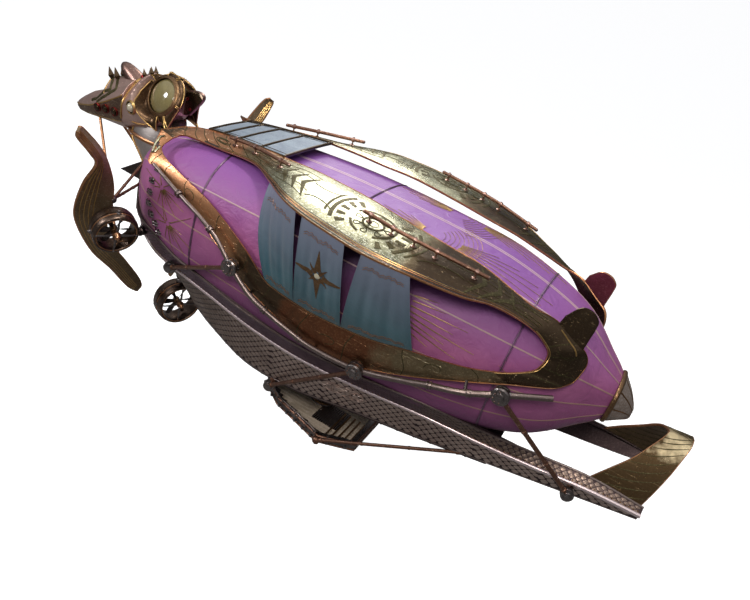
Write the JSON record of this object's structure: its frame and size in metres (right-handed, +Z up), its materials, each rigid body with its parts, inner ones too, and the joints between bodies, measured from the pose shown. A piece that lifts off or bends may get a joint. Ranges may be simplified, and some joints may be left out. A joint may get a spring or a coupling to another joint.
{
  "type": "airship",
  "caption": "Fantasy airship with a gas envelope in bronze frames, scaled keel hull, twin tail booms, figurehead, wing blades and ducted fans.",
  "frame": {"origin": "the middle of the envelope, where the lift of the air acts", "axes": "+X towards the tail (the bow points along -X), +Y to starboard, +Z up"},
  "size_m": [29.2429, 12.3188, 11.0764],
  "materials": {
    "envelope_cloth": "coated purple cloth",
    "bronze": "aged bronze, engraved",
    "dark_bronze": "dark oiled bronze",
    "scale_plate": "overlapping metal scales, worn",
    "copper": "polished copper, tarnished in the grooves",
    "drape_cloth": "sheer teal cloth",
    "eye_glass": "cloudy olive glass",
    "slate": "slate grey slats",
    "cap": "rough cast, like stone"
  },
  "bodies": {
    "hull": {"envelope": "envelope_cloth", "tail_cap": "cap", "strake_port": "scale_plate", "strake_starboard": "scale_plate", "stem": "dark_bronze", "keel": "scale_plate", "tail_loop": "bronze", "cowl_port": "bronze", "cowl_starboard": "bronze", "rear_turn_port": "bronze", "rear_turn_starboard": "bronze", "lower_band_port": "bronze", "lower_band_starboard": "bronze", "fin_port": "copper", "fin_starboard": "copper", "bow_deck": "slate", "snout": "copper", "skull": "copper", "neck": "dark_bronze", "horn": "copper", "crest": "dark_bronze", "throat_spike": "copper", "eye_ring_port": "bronze", "eye_ring_starboard": "bronze", "eye_port": "eye_glass", "eye_starboard": "eye_glass", "rail_port": "dark_bronze", "rail_starboard": "dark_bronze", "bow_strut_port": "bronze", "bow_strut_starboard": "bronze", "deck_strut_port": "bronze", "deck_strut_starboard": "bronze", "boom_strut_port": "bronze", "boom_strut_starboard": "bronze", "long_rod_port": "bronze", "long_rod_starboard": "bronze", "wing_port": "bronze", "wing_starboard": "bronze", "wing_stay_port": "bronze", "wing_stay_starboard": "bronze", "chin_rod_port": "bronze", "chin_rod_starboard": "bronze", "duct_port": "dark_bronze", "duct_starboard": "dark_bronze", "pylon_belly": "dark_bronze", "under_deck": "scale_plate", "bow_rail_port": "dark_bronze", "bow_rail_starboard": "dark_bronze", "panel_rail_port": "dark_bronze", "panel_rail_starboard": "dark_bronze", "drape_1_port": "drape_cloth", "drape_2_port": "drape_cloth", "drape_3_port": "drape_cloth"},
    "belly_fan": {"duct_belly": "dark_bronze"},
    "belly_rotor": {"rotor_belly": "dark_bronze"},
    "port_rotor": {"rotor_port": "dark_bronze"},
    "starboard_rotor": {"rotor_starboard": "dark_bronze"}
  },
  "joints": [
    {"name": "belly_fan_turn", "type": "hinge", "parent": "hull", "child": "belly_fan", "pos_m": [-9.13, 0, -4.95], "axis": [0, 0, 1], "range_deg": [-30, 80]},
    {"name": "belly_rotor_spin", "type": "hinge", "parent": "belly_fan", "child": "belly_rotor", "pos_m": [-9.13, 0, -6.05], "axis": [0.8924, -0.4512, 0], "continuous": true},
    {"name": "port_rotor_spin", "type": "hinge", "parent": "hull", "child": "port_rotor", "pos_m": [-9.5, -4.38, -1.2], "axis": [0.8598, -0.4699, -0.1999], "continuous": true},
    {"name": "starboard_rotor_spin", "type": "hinge", "parent": "hull", "child": "starboard_rotor", "pos_m": [-9.5, 4.38, -1.2], "axis": [0.8598, 0.4699, -0.1999], "continuous": true}
  ]
}
